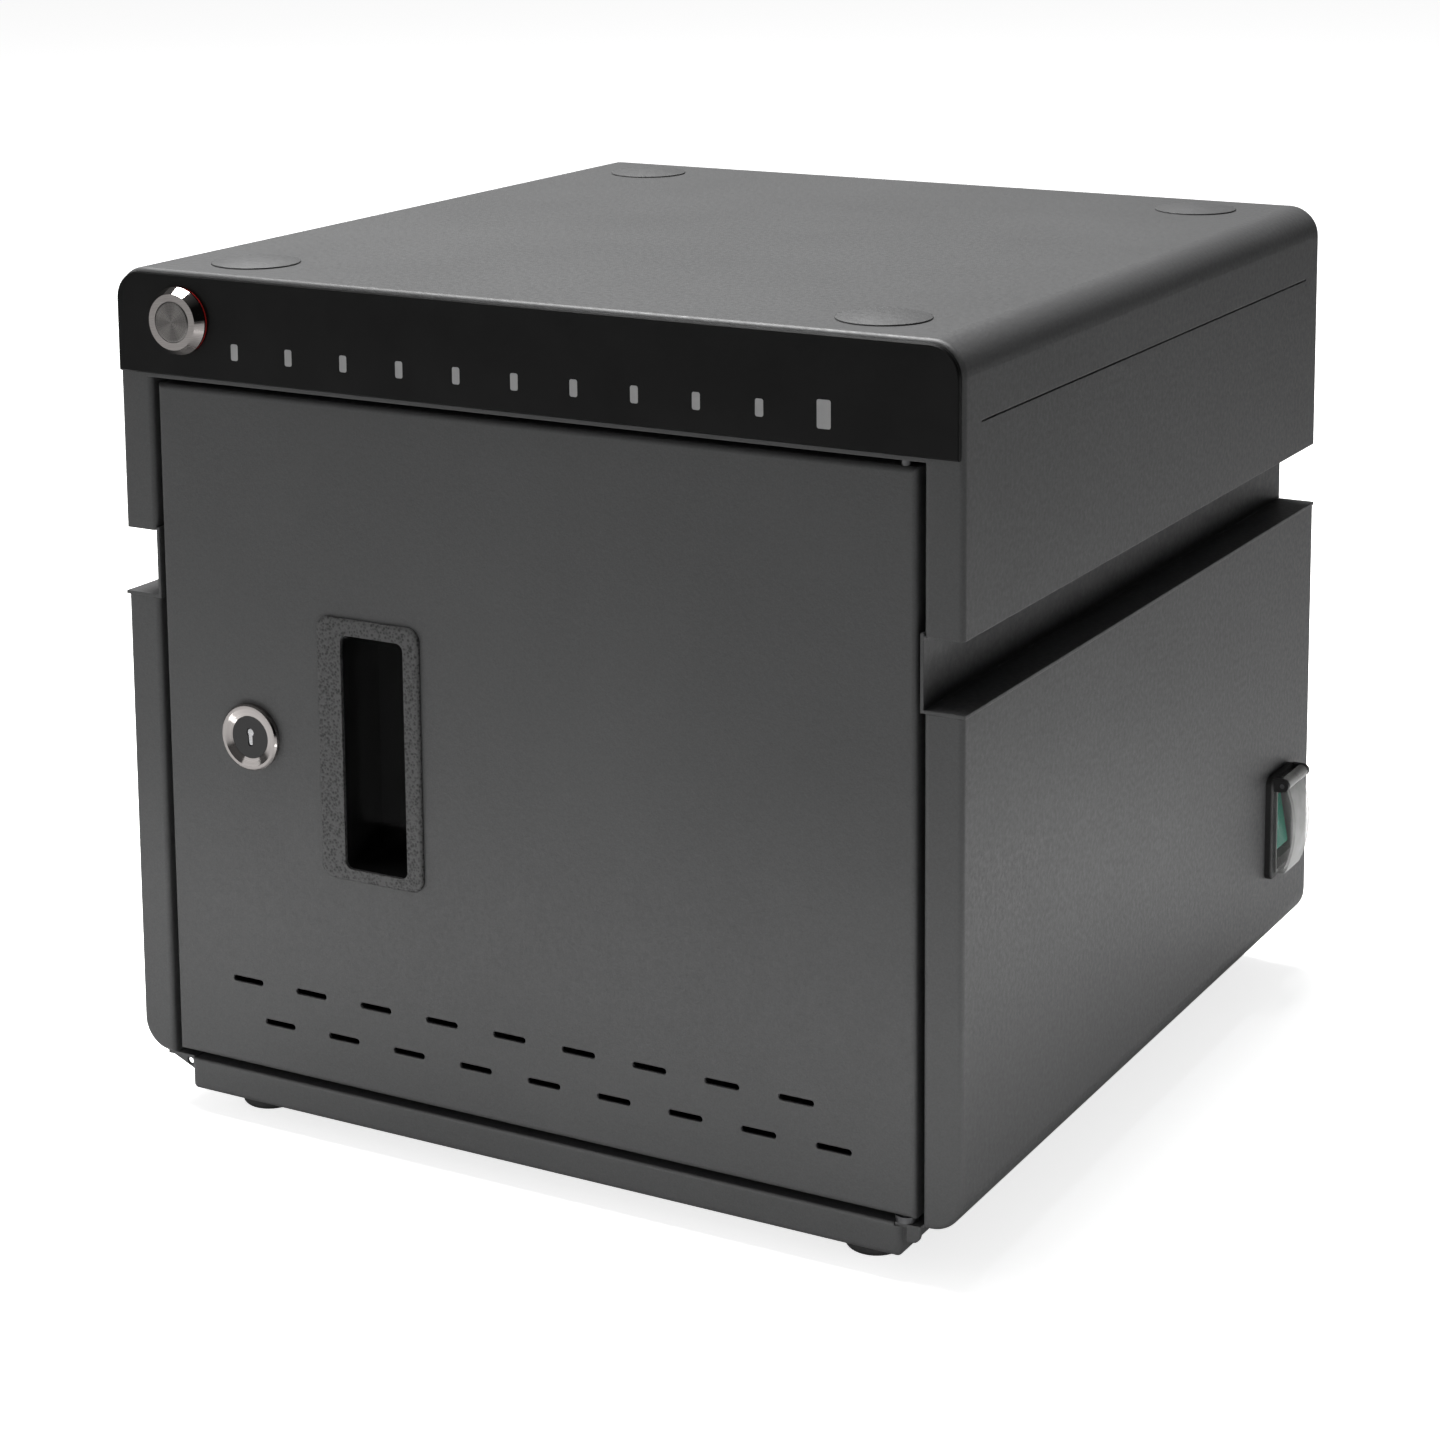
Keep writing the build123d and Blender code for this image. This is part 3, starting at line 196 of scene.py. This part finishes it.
def metal(name, colour, rough):
    """Plain rolled or plated sheet."""
    m = Finish(name)
    fine = m.noise(600.0)
    m.use("Base Color", m.ramp(fine, scaled(colour, 0.82), colour))
    m.roughness(fine, *rough)
    m.use("Normal", m.bump(fine, 0.05, 0.00005))
    m.set(Metallic=1.0)
    return m.mat


def radius_and_angle(m, centre):
    """Distance and direction from an axis along Y that goes through centre."""
    place = m.coords()
    dx = m.math("SUBTRACT", m.part(place, "X"), centre[0])
    dz = m.math("SUBTRACT", m.part(place, "Z"), centre[2])
    squares = m.math("ADD", m.math("MULTIPLY", dx, dx), m.math("MULTIPLY", dz, dz))
    return m.math("SQRT", squares), m.math("ARCTAN2", dz, dx)


def along_x(m, value):
    node = m.add("ShaderNodeCombineXYZ")
    m.link(value, node.inputs["X"])
    return node.outputs[0]


def painted_reflection_fans(m, angle, darkest_painted_reflection):
    """Painted reflection: four broad dark wedges round the axis, standing in for the way spun metal
    reflects light, broken by irregular rays; 0 is bare metal.
    """
    wave = m.math("SINE", m.math("MULTIPLY_ADD", angle, 4.0, 0.9))
    rays = m.noise(14.0, rough=0.6, vector=along_x(m, angle))
    painted_fan = m.math("MULTIPLY", m.math("ADD", wave, m.span(rays, -1.0, 1.0, 0.3, 0.7)), 0.5)
    return m.span(painted_fan, 0.0, darkest_painted_reflection, -1.0, 1.0)


def ringed(name, colour, centre, rings, rough, reflection_fans=0.0):
    """Metal turned on a lathe: fine rings round an axis along Y, with optional dark wedges of painted
    reflection across them.
    """
    m = Finish(name)
    radius, angle = radius_and_angle(m, centre)
    fine = m.noise(rings, rough=0.6, vector=along_x(m, radius))
    shade = m.ramp(fine, scaled(colour, 0.72), colour)
    if reflection_fans:
        # painted reflection: darkens the colour in wedges round the axis, where light would catch the
        # spun metal
        shade = m.blend(painted_reflection_fans(m, angle, reflection_fans), shade, scaled(colour, 0.25))
    m.use("Base Color", shade)
    m.roughness(fine, *rough)
    m.use("Normal", m.bump(fine, 0.3, 0.00005))
    m.set(Metallic=1.0)
    return m.mat


def cup_plastic(name, face_y):
    """Leather-grained frame in front of face_y, smooth glossy tray behind it."""
    blend_depth = 0.0004
    m = Finish(name)
    inside = m.span(m.part(m.coords(), "Y"), 0.0, 1.0, face_y - blend_depth, face_y)
    grain = m.noise(620.0, detail=3.0, rough=0.6)
    cells = m.add("ShaderNodeTexVoronoi")
    cells.inputs["Scale"].default_value = 900.0
    m.link(m.coords(), cells.inputs["Vector"])
    pebble = m.math("ADD", grain, m.math("MULTIPLY", cells.outputs["Distance"], 0.8))
    frame_shade = m.ramp(pebble, even(0.008), even(0.075), pos=(0.6, 1.05))
    tray_shade = m.ramp(m.noise(60.0), even(0.006), even(0.010))
    m.use("Base Color", m.blend(inside, frame_shade, tray_shade))
    gloss = m.span(inside, 0.5, 0.06)
    m.use("Roughness", m.math("ADD", gloss, m.span(grain, 0.0, 0.08, 0.3, 0.7)))
    height = m.math("MULTIPLY", pebble, m.span(inside, 1.0, 0.04))
    m.use("Normal", m.bump(height, 0.6, 0.0003))
    return m.mat


def clear_cover(name):
    """Hazy clear plastic that closes up towards its edges."""
    m = Finish(name)
    haze = m.noise(120.0, detail=3.0)
    m.use("Roughness", m.span(haze, 0.06, 0.16))
    m.use("Base Color", m.ramp(haze, (0.42, 0.42, 0.41), (0.56, 0.56, 0.55)))
    m.use("Normal", m.bump(m.noise(60.0), 0.12, 0.0002))
    edge = m.add("ShaderNodeLayerWeight")
    edge.inputs["Blend"].default_value = 0.35
    m.use("Alpha", m.span(edge.outputs["Facing"], 0.16, 0.92, 0.1, 0.9))
    m.set(IOR=1.46)
    return m.mat


def glow(name, low, high, strength):
    """Lit plastic that gives off a little of its own colour."""
    m = Finish(name)
    fine = m.noise(300.0)
    m.use("Base Color", m.ramp(fine, low, high))
    m.use("Roughness", m.span(fine, 0.25, 0.4))
    m.set(Emission_Color=(*high, 1), Emission_Strength=strength)
    return m.mat


# Materials of the nodes, by the slots of the record

def centre_of(node):
    lo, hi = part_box(node)
    return [(a + b) / 2 for a, b in zip(lo, hi)]


button_at = centre_of("start_button")
lock_at = centre_of("lock_body")

MATERIALS = {
    "steel_paint": powder_coat("powder_coat", low=0.056, high=0.084),
    "fascia_black": moulded("fascia_acrylic", even(0.0035), even(0.0065), rough=(0.3, 0.36),
                            grain=400.0, strength=0.03, depth=0.00003, shine=0.16),
    "window_grey": moulded("light_window", even(0.31), even(0.38), rough=(0.35, 0.5),
                           grain=500.0, strength=0.1),
    "ring_red": glow("button_glow", (0.10, 0.006, 0.004), (0.36, 0.014, 0.012), strength=0.16),
    "chrome_trim": ringed("turned_chrome", (0.47, 0.44, 0.425), lock_at, rings=2500.0,
                          rough=(0.05, 0.10)),
    # spun cap: its colour carries dark wedges of painted reflection round the button's axis
    "steel_spun": ringed("spun_steel", (0.31, 0.295, 0.285), button_at, rings=4000.0,
                         rough=(0.22, 0.36), reflection_fans=0.75),
    "zinc_steel": metal("zinc_plate", (0.17, 0.17, 0.175), rough=(0.3, 0.45)),
    "black_plastic": moulded("grained_plastic", even(0.013), even(0.020), rough=(0.45, 0.62),
                             grain=1100.0, strength=0.5, depth=0.00018),
    "lock_black": moulded("lock_face", even(0.006), even(0.010), rough=(0.12, 0.2),
                          grain=300.0, strength=0.05, depth=0.00003),
    "foot_rubber": moulded("foot_rubber", even(0.028), even(0.042), rough=(0.6, 0.8),
                           grain=700.0),
    "divider_plastic": moulded("divider_sheet", even(0.045), even(0.06), rough=(0.4, 0.55),
                               grain=500.0, strength=0.1),
    "psu_alloy": metal("supply_sheet", (0.50, 0.50, 0.51), rough=(0.35, 0.5)),
    "board_green": moulded("board", (0.008, 0.07, 0.02), (0.012, 0.11, 0.035), rough=(0.3, 0.5),
                           grain=500.0, strength=0.2),
    "rocker_green": moulded("rocker", (0.0, 0.24, 0.15), (0.0, 0.36, 0.24), rough=(0.15, 0.25),
                            grain=200.0, strength=0.03),
    "cover_clear": clear_cover("clear_cover"),
}

CUP_FRAME_DEPTH = 0.0016
CUP_MATERIAL = cup_plastic("cup_plastic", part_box("handle_cup")[0][1] + CUP_FRAME_DEPTH)

slots = {s["node"]: s["material_slot"] for s in frame["record"]["subparts"]}
for name, node in NODES.items():
    node.data.materials.clear()
    own = CUP_MATERIAL if name == "handle_cup" else MATERIALS[slots[name]]
    node.data.materials.append(own)


# Key shutter, a small plate in the lock

SHUTTER_HEAD_R = 0.00155
SHUTTER_HEAD_RISE = 0.0018
SHUTTER_HEAD_POINTS = 20
SHUTTER_HEAD_START = -0.18
SHUTTER_HEAD_SWEEP = 1.36
SHUTTER_TAIL_R = 0.00095
SHUTTER_TAIL_DROP = 0.0024
SHUTTER_TAIL_POINTS = 12
SHUTTER_SETBACK = 0.0005
SHUTTER_T = 0.0008
SHUTTER_BORDER = 0.0003
SHUTTER_SINK = 0.0002
SHUTTER_EDGE = 0.00008


def arc(radius, centre_z, start, sweep, points):
    """Points on an arc about (0, centre_z); start and sweep are in half turns."""
    turns = [math.pi * (start + sweep * i / (points - 1)) for i in range(points)]
    return [(radius * math.cos(a), centre_z + radius * math.sin(a)) for a in turns]


def key_shutter():
    """Silver teardrop plate just inside the key slot, with a sunk middle."""
    face_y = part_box("lock_plug")[0][1]
    outline = arc(SHUTTER_HEAD_R, SHUTTER_HEAD_RISE, SHUTTER_HEAD_START, SHUTTER_HEAD_SWEEP,
                  SHUTTER_HEAD_POINTS)
    outline += arc(SHUTTER_TAIL_R, -SHUTTER_TAIL_DROP, 1.0, 1.0, SHUTTER_TAIL_POINTS)
    mesh = bpy.data.meshes.new("key_shutter")
    bm = bmesh.new()
    front = [bm.verts.new((lock_at[0] + x, face_y + SHUTTER_SETBACK, lock_at[2] + z))
             for x, z in outline]
    face = bm.faces.new(front)
    result = bmesh.ops.extrude_face_region(bm, geom=[face])
    moved = [v for v in result["geom"] if isinstance(v, bmesh.types.BMVert)]
    bmesh.ops.translate(bm, verts=moved, vec=(0, SHUTTER_T, 0))
    bmesh.ops.inset_region(bm, faces=[face], thickness=SHUTTER_BORDER, depth=-SHUTTER_SINK)
    bmesh.ops.recalc_face_normals(bm, faces=bm.faces)
    bm.to_mesh(mesh)
    bm.free()
    piece = bpy.data.objects.new("key_shutter", mesh)
    bpy.context.collection.objects.link(piece)
    bevel = piece.modifiers.new("edge", "BEVEL")
    bevel.width = SHUTTER_EDGE
    bevel.segments = 2
    mesh.materials.append(metal("shutter_steel", (0.60, 0.60, 0.61), rough=(0.2, 0.32)))
    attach(piece, "lock_plug")


key_shutter()


# Floor

FLOOR_REACH = 6.0
FLOOR_GLOW = 0.76


def pale_floor():
    """Pale paper that the camera sees as white, and that throws less light on the object."""
    m = Finish("floor")
    seen = m.add("ShaderNodeLightPath").outputs["Is Camera Ray"]
    paper = m.ramp(m.noise(3.0), even(0.48), even(0.52))
    m.use("Base Color", m.blend(seen, paper, even(0.94)))
    m.set(Roughness=0.9, Emission_Color=(*WHITE, 1))
    m.use("Emission Strength", m.span(seen, 0.0, FLOOR_GLOW))
    return m.mat


corners = [(-1, -1), (1, -1), (1, 1), (-1, 1)]
floor_mesh = bpy.data.meshes.new("floor")
floor_mesh.from_pydata([(x * FLOOR_REACH, y * FLOOR_REACH, 0) for x, y in corners], [], [(0, 1, 2, 3)])
floor = bpy.data.objects.new("floor", floor_mesh)
bpy.context.collection.objects.link(floor)
floor.data.materials.append(pale_floor())


# Lamps and the light of the room

def area_light(name, place, target, size, power):
    data = bpy.data.lights.new(name, "AREA")
    data.shape = "RECTANGLE"
    data.size, data.size_y = size
    data.energy = power
    data.color = WHITE
    light = bpy.data.objects.new(name, data)
    bpy.context.collection.objects.link(light)
    light.location = place
    light.rotation_euler = (Vector(target) - Vector(place)).to_track_quat("-Z", "Y").to_euler()


area_light("overhead", place=(-0.55, 0.2, 2.2), target=(-0.1, 0, 0.2), size=(1.2, 1.4), power=106)
area_light("front_left", place=(-1.7, -1.9, 1.2), target=(0, 0, 0.15), size=(1.6, 1.6), power=7.4)
area_light("low_right", place=(0.34, 0, 0.02), target=(0.17, 0, 0.01), size=(0.6, 0.03), power=0.28)
area_light("low_front", place=(0, -0.34, 0.02), target=(0, -0.17, 0.01), size=(0.7, 0.03), power=0.22)

ROOM_LEVEL = 0.24
GLOSSY_SHARE = 0.45
LEFT_SHARE = 1.1
RIGHT_SHARE = 0.05

world = bpy.data.worlds.new("studio")
bpy.context.scene.world = world
world.use_nodes = True
room = Tree(world.node_tree)
rays = room.add("ShaderNodeLightPath").outputs
to_camera = rays["Is Camera Ray"]
level = room.span(to_camera, ROOM_LEVEL, 1.0)
shiny = room.span(rays["Is Glossy Ray"], 1.0, GLOSSY_SHARE)
# the room is darker on the right-hand side
around = room.add("ShaderNodeTexCoord").outputs["Generated"]
side = room.span(room.part(around, "X"), LEFT_SHARE, RIGHT_SHARE, -0.1, 0.7)
choose = room.add("ShaderNodeMix", data_type="FLOAT")
room.feed(choose.inputs["Factor"], to_camera)
room.feed(choose.inputs["A"], side)
room.feed(choose.inputs["B"], 1.0)
strength = room.math("MULTIPLY", room.math("MULTIPLY", level, shiny), choose.outputs["Result"])
back = world.node_tree.nodes["Background"]
back.inputs["Color"].default_value = (*WHITE, 1)
room.link(strength, back.inputs["Strength"])


# Camera, as solved from the photograph

CAMERA_AT = (0.59814, -1.09148, 0.51297)
CAMERA_LENS = 80.843
CAMERA_SHIFT = (-0.02883, -0.32035)
AZIMUTH = math.radians(28.687)
ELEVATION = math.radians(8.968)
ROLL = math.radians(-0.316)


def camera_turn():
    """Axes of a camera that looks down and to the left, rolled about its line of sight."""
    level_run = math.cos(ELEVATION)
    behind = Vector((math.sin(AZIMUTH) * level_run, -math.cos(AZIMUTH) * level_run, math.sin(ELEVATION)))
    right = Vector((math.cos(AZIMUTH), math.sin(AZIMUTH), 0))
    up = behind.cross(right)
    rolled_right = math.cos(ROLL) * right + math.sin(ROLL) * up
    rolled_up = -math.sin(ROLL) * right + math.cos(ROLL) * up
    return Matrix((rolled_right, rolled_up, behind)).transposed()


scene = bpy.context.scene
scene.view_settings.view_transform = "Standard"

cam_data = bpy.data.cameras.new("camera")
cam_data.sensor_width = 36.0
cam_data.lens = CAMERA_LENS
cam_data.shift_x, cam_data.shift_y = CAMERA_SHIFT
cam_data.clip_start = 0.05
cam = bpy.data.objects.new("camera", cam_data)
bpy.context.collection.objects.link(cam)
cam.matrix_world = Matrix.Translation(CAMERA_AT) @ camera_turn().to_4x4()
scene.camera = cam
